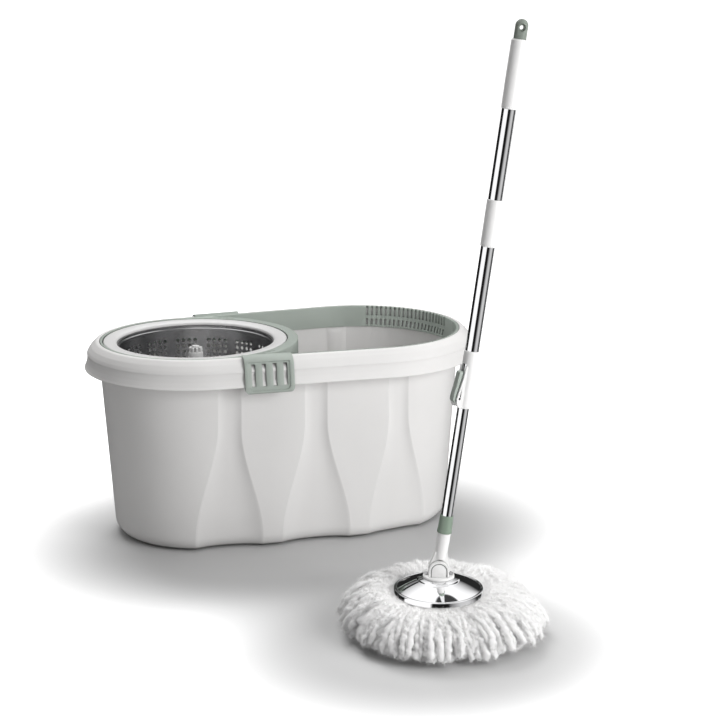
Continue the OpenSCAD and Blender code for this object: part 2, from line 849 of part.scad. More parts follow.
// Domed plate: a rim band, a swept dome and a raised step in the middle
module mop_plate() {
    z = plate_z;
    r = plate_r;
    step_r = plate_r * 0.475;
    outer = concat(
        [[r, z], [r, z + band_tall - 0.6], [r - 0.6, z + band_tall], [r - 1.6, z + band_tall + 0.2],
         [r - 2.4, z + band_tall - 0.2]],
        [for (k = [0:6]) let (u = k / 6) [mix(r - 3, step_r + 1.2, u), z + band_tall - 0.2
            + (dome_h - band_tall - 3.2) * (1.25 * u - 0.25 * u * u)]],
        [[step_r, z + dome_h - 3], [step_r - 0.8, z + dome_h - 1.2], [disc_r + 0.5, z + dome_h],
         [7, z + dome_h]]
    );
    inner = [for (k = [len(outer) - 2:-1:3]) outer[k] - [0.5, plate_t]];
    color(chrome)
        at_mop()
            difference() {
                rotate_extrude()
                    polygon(concat(outer, [[7, z + dome_h - plate_t]], inner,
                                   [[r - plate_t - 0.2, z + band_tall - 1.2], [r - plate_t - 0.2, z]]));
                for (side = [-1, 1])
                    translate([side * plate_screw_out, 0, z])
                        cylinder(h = dome_h + 1, r = 1.3);
            }
}

// Stands an upright outline, t thick, at distance y from the middle of the hinge
module upright(y, t) {
    translate([0, y + t / 2, 0])
        rotate([90, 0, 0])
            linear_extrude(t)
                children();
}

// Outline of an ear: round round the hinge, with straight sides down to the disc
module arch(r) {
    low = disc_z + 1;
    intersection() {
        union() {
            translate([0, hinge_z])
                circle(r = r);
            translate([-r, low])
                square([2 * r, hinge_z - low]);
        }
        translate([-r, low])
            square([2 * r, hinge_z - low + r]);
    }
}

// White base on the plate, with the two ears of the hinge
module hinge_base() {
    groove_w = 1;
    boss_r = ear_d / 2 - groove_w - 1.8;
    raised = 1.4;
    ear_in = tongue_t / 2 + ear_gap;
    color(white)
        at_mop()
            difference() {
                union() {
                    translate([0, 0, disc_z])
                        rotate_extrude()
                            polygon([[0, 0], [disc_r, 0], [disc_r, disc_t - 0.8], [disc_r - 0.8, disc_t],
                                     [0, disc_t]]);
                    for (side = [-1, 1]) {
                        upright(side * (ear_in + ear_t / 2), ear_t)
                            arch(ear_d / 2);
                        // raised rim and boss on each ear, with a groove between them
                        upright(side * (ear_in + ear_t + raised / 2 - 0.2), raised + 0.4) {
                            difference() {
                                arch(ear_d / 2);
                                arch(boss_r + groove_w);
                            }
                            arch(boss_r);
                        }
                    }
                }
                // the pin's hole is blind in the front ear
                translate([0, ear_in + ear_t + 3, hinge_z])
                    rotate([90, 0, 0])
                        cylinder(h = 2 * ear_in + ear_t + 6.1, d = hinge_d);
                for (side = [-1, 1])
                    translate([side * plate_screw_out, 0, disc_z - 1])
                        cylinder(h = disc_t + 2, r = 1.3);
            }
}

module hinge_pin() {
    len = ear_t + tongue_t + 2 * ear_gap + 3;
    color(steel)
        at_mop()
            translate([0, ear_t + tongue_t / 2 + ear_gap, hinge_z])
                rotate([90, 0, 0])
                    cylinder(h = len, d = hinge_d);
}

module plate_screws() {
    head_h = 2.8;
    head_z = disc_z + disc_t;
    color(steel)
        at_mop()
            for (side = [-1, 1])
                translate([side * plate_screw_out, 0, 0])
                    difference() {
                        rotate_extrude($fn = 48)
                            polygon([
                                [0, disc_z - 4], [1.3, disc_z - 4], [1.3, head_z], [2.1, head_z],
                                [2.1, head_z + head_h - 1.2], [1.7, head_z + head_h - 0.5],
                                [1, head_z + head_h], [0, head_z + head_h]
                            ]);
                        translate([0, 0, head_z + head_h])
                            cube([5, 0.7, 1.8], center = true);
                    }
}

// ---------------------------------------------------------------- handle

// Stations along the handle from the hinge
collar_low = 42;
collar_len = 19.5;
clamp_low = collar_low + collar_len + stem_show;
clamp_high = clamp_low + clamp_len;
joint_low = clamp_high + middle_show;
joint_high = joint_low + joint_len;
grip_low = joint_high + upper_show;
grip_high = grip_low + grip_len;
cap_high = grip_high + cap_len;
stem_r = stem_d / 2;
slide_in_r = stem_r + tube_gap;
slide_r = slide_in_r + tube_t;
sleeve_r = slide_r + 0.9;
stem_low = 26;
nut_len = 26;
stem_high = grip_high - press_down - 40;

module at_handle() {
    at_mop()
        translate([0, 0, hinge_z])
            rotate([0, handle_tilt, 0])
                children();
}

module tube(low, high, r, t) {
    translate([0, 0, low])
        difference() {
            cylinder(h = high - low, r = r);
            translate([0, 0, -1])
                cylinder(h = high - low + 2, r = r - t);
        }
}

// White socket: a hinge tongue that flares at the ears and tapers up to the tube
module socket() {
    neck_r = stem_r + 0.3;
    top_r = stem_r + 1.1;
    flare_w = 11.6;
    neck_z = ear_d / 2 + 0.6;
    rest_z = collar_low - neck_z;
    spigot_r = stem_r + 0.7;
    flare = [
        [-flare_w, 2.6], [-flare_w + 1.2, 5.5], [-neck_r - 1.4, 12], [-neck_r, 20], [neck_r, 20],
        [neck_r + 1.4, 12], [flare_w - 1.2, 5.5], [flare_w, 2.6], [flare_w - 2.6, 0.2], [-flare_w + 2.6, 0.2]
    ];
    color(white)
        at_handle()
            difference() {
                union() {
                    translate([0, tongue_t / 2, 0])
                        rotate([90, 0, 0])
                            linear_extrude(tongue_t) {
                                circle(r = 5.4);
                                polygon(flare);
                            }
                    translate([0, 0, neck_z])
                        rotate_extrude()
                            polygon([
                                [0, 0], [neck_r - 1.8, 0], [neck_r - 0.2, 1.6], [neck_r, 6],
                                [top_r - 0.3, 28], [top_r - 0.3, rest_z], [spigot_r, rest_z],
                                [spigot_r, rest_z + 7.6], [0, rest_z + 7.6]
                            ]);
                }
                translate([0, 10, 0])
                    rotate([90, 0, 0])
                        cylinder(h = 20, r = hinge_d / 2 + run_gap);
                translate([0, 0, stem_low])
                    cylinder(h = 40, r = stem_r);
            }
}

// Green collar that tightens the tube in the socket
module lock_collar() {
    step = 8.2;
    color(sage)
        at_handle()
            translate([0, 0, collar_low])
                rotate_extrude()
                    polygon([
                        [stem_r + 0.7, 0], [stem_r + 1.5, 0], [stem_r + 1.7, 0.8], [stem_r + 1.2, 4],
                        [stem_r + 0.8, collar_len - 1], [stem_r + 0.5, collar_len], [stem_r, collar_len],
                        [stem_r, step], [stem_r + 0.7, step]
                    ]);
}

module lower_tube() {
    color(chrome)
        at_handle()
            tube(stem_low, stem_high, stem_r, tube_t);
}

// Plan of the flat rod, grown by g on every side
module rod_plan(g) {
    square([rod_w + 2 * g, rod_t + 2 * g], center = true);
}

// Length of helical bar from station a to b, so that every length is in phase
module helix(a, b, g) {
    step = 6;
    rotate([0, 0, a / drive_lead * 360])
        translate([0, 0, a])
            linear_extrude(b - a, twist = -(b - a) / drive_lead * 360,
                           slices = ceil((b - a) / drive_lead * 360 / step), segments = 4)
                rod_plan(g);
}

nut_low = stem_high - nut_len + 6;
nut_r = stem_r - tube_t;

module drive_nut() {
    color(white)
        at_handle()
            difference() {
                union() {
                    translate([0, 0, nut_low])
                        cylinder(h = nut_len - 6, r = nut_r - 1.2);
                    translate([0, 0, nut_low])
                        cylinder(h = 4, r = nut_r - 0.6);
                }
                helix(nut_low - 2, nut_low + nut_len, rod_gap);
            }
}

// Sleeve that holds the nut in the top of the lower tube
module nut_sleeve() {
    color("dimgray")
        at_handle()
            translate([0, 0, nut_low - 3])
                difference() {
                    union() {
                        cylinder(h = stem_high - nut_low + 3, r = nut_r);
                        translate([0, 0, stem_high - nut_low + 3])
                            cylinder(h = 1.4, r = stem_r);
                    }
                    translate([0, 0, 3])
                        cylinder(h = 4, r = nut_r - 0.6);
                    translate([0, 0, 3])
                        cylinder(h = nut_len + 10, r = nut_r - 1.2);
                    translate([0, 0, -1])
                        cylinder(h = 6, r = rod_w / 2 + 0.8);
                }
}

bush_low = clamp_low + 4;
bush_high = clamp_low + 22;

// Plain bush that slides on the lower tube; the clamp turns round it
module guide_bush() {
    color("gainsboro")
        at_handle()
            translate([0, 0, bush_low])
                difference() {
                    cylinder(h = bush_high - bush_low, r = slide_r - run_gap);
                    translate([0, 0, -1])
                        cylinder(h = bush_high - bush_low + 2, r = stem_r + run_gap);
                }
}

lever_turn = -145;
pivot_out = stem_r + 5.2;
pivot_z = clamp_low + 11;
pivot_d = 2.6;
lever_w = 6;
cheek_t = 2.2;
cheek_gap = 0.3;

module at_clamp() {
    at_handle()
        rotate([0, 0, lever_turn])
            children();
}

// Clamp body: a sleeve with two cheeks that carry the lever
module clamp_body() {
    cheek_w = lever_w + 2 * (cheek_t + cheek_gap);
    color(white)
        at_clamp()
            difference() {
                union() {
                    translate([0, 0, clamp_low])
                        rotate_extrude()
                            polygon([
                                [0, 0], [sleeve_r - 0.6, 0], [sleeve_r, 0.8], [sleeve_r, clamp_len - 1],
                                [sleeve_r - 0.8, clamp_len], [0, clamp_len]
                            ]);
                    translate([0, cheek_w / 2, 0])
                        rotate([90, 0, 0])
                            linear_extrude(cheek_w)
                                polygon([
                                    [0, clamp_low + 1], [pivot_out - 1, clamp_low + 1], [pivot_out + 2.4, clamp_low + 5],
                                    [pivot_out + 3, clamp_low + 11], [pivot_out + 2, clamp_low + 17],
                                    [sleeve_r + 1.6, clamp_low + 33], [sleeve_r, clamp_low + 46], [0, clamp_low + 48]
                                ]);
                }
                // bore for the tube and the bush, over a lip that keeps the bush in
                translate([0, 0, bush_low - 0.4])
                    cylinder(h = clamp_len, r = slide_r);
                translate([0, 0, clamp_low - 1])
                    cylinder(h = 10, r = stem_r + 0.4);
                // room for the lever
                translate([0, -lever_w / 2 - cheek_gap, clamp_low - 1])
                    cube([40, lever_w + 2 * cheek_gap, 49]);
                translate([pivot_out, cheek_w / 2 + 1, pivot_z])
                    rotate([90, 0, 0])
                        cylinder(h = cheek_w + 2, d = pivot_d);
            }
}

module lever_pin() {
    len = lever_w + 2 * (cheek_t + cheek_gap);
    color(steel)
        at_clamp()
            translate([pivot_out, len / 2, pivot_z])
                rotate([90, 0, 0])
                    cylinder(h = len, d = pivot_d);
}

// Curved lever with a round cam at its pivot
module clamp_lever() {
    cam_r = pivot_out - slide_r - 0.35;
    top = pivot_z + 29;
    color(sage)
        at_clamp()
            difference() {
                translate([0, lever_w / 2, 0])
                    rotate([90, 0, 0])
                        linear_extrude(lever_w) {
                            translate([pivot_out, pivot_z])
                                circle(r = cam_r);
                            polygon([
                                [pivot_out - cam_r * 0.8, pivot_z + 1], [pivot_out - 0.6, pivot_z - cam_r],
                                [pivot_out + 1.6, pivot_z - 4.4], [pivot_out + 4.6, pivot_z - 4],
                                [pivot_out + 6.4, pivot_z - 1], [pivot_out + 6, pivot_z + 5],
                                [pivot_out + 4.2, pivot_z + 13], [pivot_out + 3.4, pivot_z + 21],
                                [pivot_out + 2.6, top - 1], [pivot_out + 1.8, top], [sleeve_r + 0.6, top],
                                [sleeve_r + 0.5, top - 8], [pivot_out - 2.2, pivot_z + 12]
                            ]);
                        }
                translate([pivot_out, lever_w / 2 + 1, pivot_z])
                    rotate([90, 0, 0])
                        cylinder(h = lever_w + 2, r = pivot_d / 2 + run_gap);
            }
}

module middle_tube() {
    color(chrome)
        at_handle()
            tube(bush_high + 0.5, joint_low + joint_len / 2 - 0.5, slide_r, tube_t);
}

module upper_tube() {
    color(chrome)
        at_handle()
            tube(joint_low + joint_len / 2 + 0.5, grip_high - 4, slide_r, tube_t);
}

module joint_collar() {
    color(white)
        at_handle()
            translate([0, 0, joint_low])
                rotate_extrude()
                    polygon([
                        [slide_r, 0], [sleeve_r - 0.5, 0], [sleeve_r, 0.7], [sleeve_r, joint_len - 0.7],
                        [sleeve_r - 0.5, joint_len], [slide_r, joint_len], [slide_r, joint_len / 2 + 0.5],
                        [slide_in_r, joint_len / 2 + 0.5], [slide_in_r, joint_len / 2 - 0.5],
                        [slide_r, joint_len / 2 - 0.5]
                    ]);
}

cap_r = sleeve_r - 1.7;

module grip() {
    color(white)
        at_handle()
            translate([0, 0, grip_low])
                difference() {
                    rotate_extrude()
                        polygon([
                            [slide_r, 0], [sleeve_r - 0.6, 0], [sleeve_r, 0.8], [sleeve_r + 0.2, grip_len * 0.4],
                            [sleeve_r, grip_len - 1.6], [sleeve_r - 1, grip_len], [slide_r - 2, grip_len],
                            [slide_r - 2, grip_len - 4], [slide_r, grip_len - 4]
                        ]);
                }
}

// Round-ended cap with a flat-sided eye
module end_cap() {
    eye_t = cap_r * 1.25;
    eye_z = grip_high + cap_len - 8.4;
    color(dark_sage)
        at_handle()
            difference() {
                union() {
                    translate([0, 0, grip_high])
                        rotate_extrude()
                            polygon(concat(
                                [[0, -3.9], [slide_r - 2, -3.9], [slide_r - 2, 0], [cap_r, 0]],
                                [for (a = [0:15:90]) [cap_r * cos(a), cap_len - cap_r + cap_r * sin(a)]]
                            ));
                }
                for (side = [-1, 1])
                    translate([0, side * (eye_t / 2 + 5), eye_z])
                        rotate([90, 0, 0])
                            cylinder(h = 10, r = eye_d / 2 + 1.7, center = true);
                translate([0, 20, eye_z])
                    rotate([90, 0, 0])
                        cylinder(h = 40, d = eye_d);
            }
}

anchor_low = grip_high - 24;
rod_low = nut_low - press_up - 14;

module twist_rod() {
    color(steel)
        at_handle()
            helix(rod_low, anchor_low, 0);
}

// Plug pinned in the top of the upper tube, which holds the rod from turning
module rod_anchor() {
    color("dimgray")
        at_handle()
            translate([0, 0, anchor_low])
                difference() {
                    cylinder(h = 16, r = slide_in_r);
                    translate([0, 0, 3])
                        cylinder(h = 14, r = slide_in_r - 1.6);
                }
}

tub();
spin_tower();
wash_tower();
splash_guard();
spindle_pin();
wash_pin();
wash_rotor();
basket_ring();
spin_basket();
basket_post();
hub_flange();
hub_screws();
bearing_bushes();
fringe();
fringe_disc();
mop_plate();
hinge_base();
hinge_pin();
plate_screws();
socket();
lock_collar();
lower_tube();
drive_nut();
nut_sleeve();
guide_bush();
clamp_body();
clamp_lever();
lever_pin();
middle_tube();
joint_collar();
upper_tube();
grip();
end_cap();
twist_rod();
rod_anchor();
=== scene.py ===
import json
import math
import random

import bmesh
import bpy
import numpy as np
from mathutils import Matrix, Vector, noise


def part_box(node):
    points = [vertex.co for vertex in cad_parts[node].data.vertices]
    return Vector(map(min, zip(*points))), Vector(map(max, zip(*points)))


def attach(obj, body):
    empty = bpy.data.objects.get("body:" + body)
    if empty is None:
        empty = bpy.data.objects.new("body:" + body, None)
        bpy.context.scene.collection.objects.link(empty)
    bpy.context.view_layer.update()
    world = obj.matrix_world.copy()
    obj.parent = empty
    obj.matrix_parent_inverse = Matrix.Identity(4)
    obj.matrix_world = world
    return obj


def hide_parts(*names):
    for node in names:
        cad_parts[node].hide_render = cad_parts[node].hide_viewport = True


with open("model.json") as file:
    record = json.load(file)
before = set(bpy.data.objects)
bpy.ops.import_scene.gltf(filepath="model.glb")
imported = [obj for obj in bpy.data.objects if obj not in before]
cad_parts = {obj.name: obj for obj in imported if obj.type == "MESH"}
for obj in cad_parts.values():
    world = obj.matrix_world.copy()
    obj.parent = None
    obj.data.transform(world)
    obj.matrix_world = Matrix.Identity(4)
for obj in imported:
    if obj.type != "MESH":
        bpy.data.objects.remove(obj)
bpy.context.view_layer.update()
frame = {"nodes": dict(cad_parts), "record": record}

nodes = frame["nodes"]
MM = 0.001


def mix(a, b, k):
    return a + (b - a) * k


def smooth(x):
    x = min(1.0, max(0.0, x))
    return x * x * (3 - 2 * x)


# ------------------------------------------------------------------ places taken from the frame

def middle(node):
    low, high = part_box(node)
    return (low + high) / 2


SPIN = middle("basket_ring").to_2d()
WASH = middle("wash_rotor").to_2d()
MOP = middle("fringe").to_2d()
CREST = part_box("tub")[1].z

# ------------------------------------------------------------------ camera

CAMERA_AT = Vector((-0.5849, -2.037, 0.7215))
CAMERA_YAW = -18.7
CAMERA_PITCH = 13.6
LENS = 85
cam_data = bpy.data.cameras.new("camera")
cam_data.lens = LENS
cam_data.sensor_width = 36
cam_data.clip_end = 100
camera = bpy.data.objects.new("camera", cam_data)
camera.location = CAMERA_AT
camera.rotation_euler = (math.radians(90 - CAMERA_PITCH), 0, math.radians(CAMERA_YAW))
bpy.context.scene.collection.objects.link(camera)
bpy.context.scene.camera = camera

# ------------------------------------------------------------------ mesh tools


def make_object(name, verts, faces, shade=True):
    mesh = bpy.data.meshes.new(name)
    mesh.from_pydata(verts, [], faces)
    mesh.validate()
    bm = bmesh.new()
    bm.from_mesh(mesh)
    bmesh.ops.recalc_face_normals(bm, faces=bm.faces)
    bm.to_mesh(mesh)
    bm.free()
    if shade:
        mesh.polygons.foreach_set("use_smooth", [True] * len(mesh.polygons))
    obj = bpy.data.objects.new(name, mesh)
    bpy.context.scene.collection.objects.link(obj)
    return obj


def grid_faces(rows, count, offset=0):
    """The quads between rows of count points each, every row closed on itself."""
    faces = []
    for k in range(rows - 1):
        for j in range(count):
            a = offset + k * count + j
            b = offset + k * count + (j + 1) % count
            faces.append((a, b, b + count, a + count))
    return faces


def rounded(points, radius, steps, closed=False):
    """The outline with each corner cut back by at most radius and rounded."""
    out = []
    n = len(points)
    for i, p in enumerate(points):
        p = Vector(p)
        if not closed and i in (0, n - 1):
            out.append(p)
            continue
        before, after = Vector(points[i - 1]), Vector(points[(i + 1) % n])
        cut_a = min(radius, (before - p).length * 0.45)
        cut_b = min(radius, (after - p).length * 0.45)
        a = p + (before - p).normalized() * cut_a
        b = p + (after - p).normalized() * cut_b
        for s in range(steps + 1):
            u = s / steps
            out.append(a * (1 - u) ** 2 + p * 2 * u * (1 - u) + b * u * u)
    return out


def lathe(name, outline, centre, steps, radius, corner_steps):
    """A turned piece: outline is (radius, height) points, round the vertical through centre."""
    path = rounded(outline, radius, corner_steps, closed=True)
    verts = []
    for p in path:
        for j in range(steps):
            a = 2 * math.pi * j / steps
            verts.append((centre[0] + p.x * math.cos(a), centre[1] + p.x * math.sin(a), p.y))
    faces = grid_faces(len(path), steps)
    last = (len(path) - 1) * steps
    faces += [(last + j, last + (j + 1) % steps, (j + 1) % steps, j) for j in range(steps)]
    obj = make_object(name, verts, faces)
    bm = bmesh.new()
    bm.from_mesh(obj.data)
    bmesh.ops.remove_doubles(bm, verts=bm.verts, dist=1e-6)
    bmesh.ops.recalc_face_normals(bm, faces=bm.faces)
    bm.to_mesh(obj.data)
    bm.free()
    obj.data.polygons.foreach_set("use_smooth", [True] * len(obj.data.polygons))
    return obj


# ------------------------------------------------------------------ materials


def new_material(name):
    mat = bpy.data.materials.new(name)
    mat.use_nodes = True
    tree = mat.node_tree
    return mat, tree, tree.nodes["Principled BSDF"]


def link(tree, a, b):
    tree.links.new(a, b)


def noise_node(tree, scale, detail=3, rough=0.5):
    coords = tree.nodes.new("ShaderNodeTexCoord")
    tex = tree.nodes.new("ShaderNodeTexNoise")
    tex.inputs["Scale"].default_value = scale
    tex.inputs["Detail"].default_value = detail
    tex.inputs["Roughness"].default_value = rough
    link(tree, coords.outputs["Object"], tex.inputs["Vector"])
    return tex


def vary_colour(tree, bsdf, colour, amount, scale):
    tex = noise_node(tree, scale)
    ramp = tree.nodes.new("ShaderNodeValToRGB")
    ramp.color_ramp.elements[0].position = 0.3
    ramp.color_ramp.elements[1].position = 0.7
    ramp.color_ramp.elements[0].color = [c * (1 - amount) for c in colour] + [1]
    ramp.color_ramp.elements[1].color = [min(1, c * (1 + amount)) for c in colour] + [1]
    link(tree, tex.outputs["Fac"], ramp.inputs["Fac"])
    link(tree, ramp.outputs["Color"], bsdf.inputs["Base Color"])


def vary_roughness(tree, bsdf, low, high, scale):
    tex = noise_node(tree, scale, 4)
    span = tree.nodes.new("ShaderNodeMapRange")
    span.inputs["To Min"].default_value = low
    span.inputs["To Max"].default_value = high
    link(tree, tex.outputs["Fac"], span.inputs["Value"])
    link(tree, span.outputs["Result"], bsdf.inputs["Roughness"])


def add_bump(tree, bsdf, height, strength, distance):
    bump = tree.nodes.new("ShaderNodeBump")
    bump.inputs["Strength"].default_value = strength
    bump.inputs["Distance"].default_value = distance
    link(tree, height, bump.inputs["Height"])
    link(tree, bump.outputs["Normal"], bsdf.inputs["Normal"])


def paint_crevice_shade(tree, bsdf, reach, dark):
    """Painted shade: darken the base colour where other faces stand within reach, as if shade fell
    in the crevices.
    """
    occlusion = tree.nodes.new("ShaderNodeAmbientOcclusion")
    occlusion.samples = 8
    occlusion.inputs["Distance"].default_value = reach
    span = tree.nodes.new("ShaderNodeMapRange")
    span.inputs["From Min"].default_value = 0.25
    span.inputs["From Max"].default_value = 0.8
    span.inputs["To Min"].default_value = dark
    link(tree, occlusion.outputs["AO"], span.inputs["Value"])
    scaled = tree.nodes.new("ShaderNodeVectorMath")
    scaled.operation = "SCALE"
    link(tree, bsdf.inputs["Base Color"].links[0].from_socket, scaled.inputs[0])
    link(tree, span.outputs["Result"], scaled.inputs["Scale"])
    link(tree, scaled.outputs["Vector"], bsdf.inputs["Base Color"])


GRAIN_SCALE, GRAIN_BUMP, GRAIN_DEPTH = 900, 0.05, 0.2 * MM


def plastic(name, colour, rough=(0.28, 0.4), coat=0.15, reach=2 * MM, dark=0.35):
    """A moulded plastic with a fine grain, and painted shade that darkens its crevices."""
    mat, tree, bsdf = new_material(name)
    vary_colour(tree, bsdf, colour, 0.012, 14)
    paint_crevice_shade(tree, bsdf, reach, dark)
    vary_roughness(tree, bsdf, rough[0], rough[1], 40)
    add_bump(tree, bsdf, noise_node(tree, GRAIN_SCALE, 2).outputs["Fac"], GRAIN_BUMP, GRAIN_DEPTH)
    bsdf.inputs["IOR"].default_value = 1.46
    bsdf.inputs["Coat Weight"].default_value = coat
    bsdf.inputs["Coat Roughness"].default_value = 0.18
    return mat


def metal(name, colour, rough, aniso=0.0, streak=0.0):
    mat, tree, bsdf = new_material(name)
    bsdf.inputs["Metallic"].default_value = 1.0
    vary_colour(tree, bsdf, colour, 0.03, 25)
    vary_roughness(tree, bsdf, rough[0], rough[1], 60)
    bsdf.inputs["Anisotropic"].default_value = aniso
    if streak:
        coords = tree.nodes.new("ShaderNodeTexCoord")
        scale = tree.nodes.new("ShaderNodeMapping")
        scale.inputs["Scale"].default_value = (30, 30, 3000)
        tex = tree.nodes.new("ShaderNodeTexNoise")
        tex.inputs["Scale"].default_value = 1.0
        link(tree, coords.outputs["Object"], scale.inputs["Vector"])
        link(tree, scale.outputs["Vector"], tex.inputs["Vector"])
        add_bump(tree, bsdf, tex.outputs["Fac"], streak, 0.0001)
    return mat


def fluff_material(name, bump, soft):
    mat, tree, bsdf = new_material(name)
    vary_colour(tree, bsdf, (0.86, 0.856, 0.853), 0.015, 60)
    bsdf.inputs["Roughness"].default_value = 1.0
    bsdf.inputs["Specular IOR Level"].default_value = 0.15
    bsdf.inputs["Sheen Weight"].default_value = 0.35
    bsdf.inputs["Sheen Roughness"].default_value = 0.6
    if bump:
        add_bump(tree, bsdf, noise_node(tree, 1400, 4, 0.7).outputs["Fac"], bump, 0.0012)
    bsdf.inputs["Subsurface Weight"].default_value = soft
    bsdf.inputs["Subsurface Radius"].default_value = (1, 1, 1)
    bsdf.inputs["Subsurface Scale"].default_value = 7 * MM
    return mat


# Every plastic below carries painted shade in its crevices, set by its reach and dark.
white_plastic = plastic("white_plastic", (0.79, 0.786, 0.78))
# Painted light: the handle parts' white plastic is a brighter copy of white_plastic, lifted to
# stand in for light falling on the handle.
handle_plastic_painted_light = plastic("handle_plastic_painted_light", (0.93, 0.926, 0.92), dark=0.25)
tub_plastic = plastic("tub_plastic", (0.85, 0.84, 0.83), rough=(0.34, 0.46), coat=0.08,
                      reach=6 * MM)
sage = plastic("sage_plastic", (0.42, 0.467, 0.426), rough=(0.32, 0.44), reach=3 * MM, dark=0.2)
collar_sage = plastic("collar_sage_plastic", (0.25, 0.32, 0.253), rough=(0.3, 0.4))
dark_sage = plastic("dark_sage_plastic", (0.25, 0.28, 0.248), rough=(0.35, 0.5))
nylon = plastic("nylon", (0.72, 0.71, 0.66), rough=(0.4, 0.5))
black_nylon = plastic("black_nylon", (0.03, 0.03, 0.03), rough=(0.4, 0.5))
basket_steel = metal("basket_steel", (0.52, 0.52, 0.525), (0.2, 0.3), aniso=0.4, streak=0.25)
pin_steel = metal("pin_steel", (0.55, 0.55, 0.56), (0.18, 0.28))
dark_steel = metal("dark_steel", (0.05, 0.05, 0.052), (0.25, 0.35))
chrome = metal("chrome", (0.86, 0.86, 0.87), (0.03, 0.06))
tube_chrome = metal("tube_chrome", (0.84, 0.84, 0.85), (0.05, 0.09))
bronze = metal("bronze", (0.55, 0.36, 0.17), (0.3, 0.4))
fluff = fluff_material("microfibre", 0.5, 0.7)
fibre = fluff_material("microfibre_fibre", 0.0, 0.0)

SLOT_MATERIALS = {
    "white_plastic": white_plastic, "sage_plastic": sage, "dark_sage_plastic": dark_sage,
    "basket_steel": basket_steel, "pin_steel": pin_steel, "chrome_steel": tube_chrome,
    "microfibre": fluff, "nylon": nylon, "black_nylon": black_nylon, "bronze": bronze,
}
NODE_MATERIALS = {
    "lock_collar": collar_sage, "lever_pin": dark_steel,
    "grip": handle_plastic_painted_light, "joint_collar": handle_plastic_painted_light, "clamp_body": handle_plastic_painted_light,
    "socket": handle_plastic_painted_light, "hinge_base": handle_plastic_painted_light,
}


def dress(obj, material):
    obj.data.materials.clear()
    obj.data.materials.append(material)


for part in frame["record"]["subparts"]:
    name = part["node"]
    dress(nodes[name], NODE_MATERIALS.get(name, SLOT_MATERIALS[part["material_slot"]]))
    nodes[name].data.polygons.foreach_set("use_smooth", [True] * len(nodes[name].data.polygons))


def soften(node, width):
    """A small round on the CAD node's sharp edges."""
    weld = nodes[node].modifiers.new("join", "WELD")
    weld.merge_threshold = 0.01 * MM
    mod = nodes[node].modifiers.new("edge", "BEVEL")
    mod.width = width
    mod.segments = 2
    mod.limit_method = "ANGLE"
    mod.angle_limit = math.radians(30)
    mod.harden_normals = True


def own(obj, body, slot, material, *stands_for):
    """Gives a modelled piece its material and body, and hides the CAD nodes that it stands for; the
    slot is not used.
    """
    dress(obj, material)
    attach(obj, body)
    if stands_for:
        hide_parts(*stands_for)
    return obj


# ------------------------------------------------------------------ tub

SKIRT_OUT = 17.6 * MM
SKIRT_H = 34 * MM
SHOULDER_OUT = 14.4 * MM
SHOULDER_DROP, BAND_DROP, SKIRT_DROP = 15.4, 28, 34
WALL_T = 2.4 * MM
WALL_IN = 4.5 * MM
LIP_IN = 1.6 * MM
SEAT_IN = 3.4 * MM
FLOOR_T = 3 * MM
FOOT_ROUND = 18 * MM
END_DRAFT = 14 * MM
SIDE_DRAFT = 5 * MM
FLUTE_PITCH = 111.5 * MM
FLUTE_TOP_W, FLUTE_FOOT_W = 28.5 * MM, 87 * MM
FLUTE_SHIFT = 4.5 * MM
FLUTE_LEAN = [3.4 * MM, -1 * MM, -6 * MM]
FULLER = 3 * MM
FLUTE_TOP_D, FLUTE_FOOT_D = 2.6 * MM, 8.5 * MM
SPIN_R = SPIN.x - SKIRT_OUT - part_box("tub")[0].x
WASH_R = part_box("tub")[1].x - SKIRT_OUT - WASH.x
LOBE_GAP = WASH.x - SPIN.x
LEAN = math.asin((WASH_R - SPIN_R) / LOBE_GAP)
SPIN_ARC, WASH_ARC = math.pi / 2 - LEAN, math.pi / 2 + LEAN
SPIN_LEN, SIDE_LEN, WASH_LEN = SPIN_R * SPIN_ARC, LOBE_GAP * math.cos(LEAN), WASH_R * WASH_ARC
HALF_LEN = SPIN_LEN + SIDE_LEN + WASH_LEN
WALL_TOP = CREST - SKIRT_H
FLARE_Z = CREST - 28 * MM


def crest_turn(t):
    if t < SPIN_LEN:
        return math.pi + t / SPIN_R
    if t < SPIN_LEN + SIDE_LEN:
        return math.pi + SPIN_ARC
    return math.pi + SPIN_ARC + (t - SPIN_LEN - SIDE_LEN) / WASH_R


def crest_point(t, d):
    """The point t along the crest from the spinner end, by the front, moved out by d."""
    a = crest_turn(t)
    out = Vector((math.cos(a), math.sin(a)))
    if t < SPIN_LEN + SIDE_LEN:
        along = min(SIDE_LEN, max(0.0, t - SPIN_LEN))
        return Vector((SPIN.x, 0)) + out * (SPIN_R + d) + Vector((-out.y, out.x)) * along
    return Vector((WASH.x, 0)) + out * (WASH_R + d)


def flute_half(z):
    neck, foot = WALL_TOP * 0.75, WALL_TOP * 0.07
    return mix(FLUTE_TOP_W, FLUTE_FOOT_W, smooth((neck - z) / (neck - foot))) / 2


def flute_depth(z):
    if z > FLARE_Z:
        return 0.0
    if z > WALL_TOP:
        return FLUTE_TOP_D * (FLARE_Z - z) / (FLARE_Z - WALL_TOP)
    return mix(FLUTE_FOOT_D, FLUTE_TOP_D, z / WALL_TOP)


def draft(z, t, d):
    """How far out of the crest the wall stands at z: drafted, and fuller at the spinner end."""
    side = math.sin(math.pi * t / HALF_LEN) ** 2
    fuller = FULLER * (1 - smooth(t / SPIN_LEN)) * smooth((FLARE_Z - z) / (FLARE_Z - WALL_TOP))
    if d > 0:
        fuller = 0.0
    return -WALL_IN - (1 - min(1.0, z / WALL_TOP)) * mix(END_DRAFT, SIDE_DRAFT, side) + fuller


FLUTE_STEPS = 24
PANEL_STEPS = 16
END_STEPS = 48
END_SPREAD = 1.5
SCOOP = 2.6


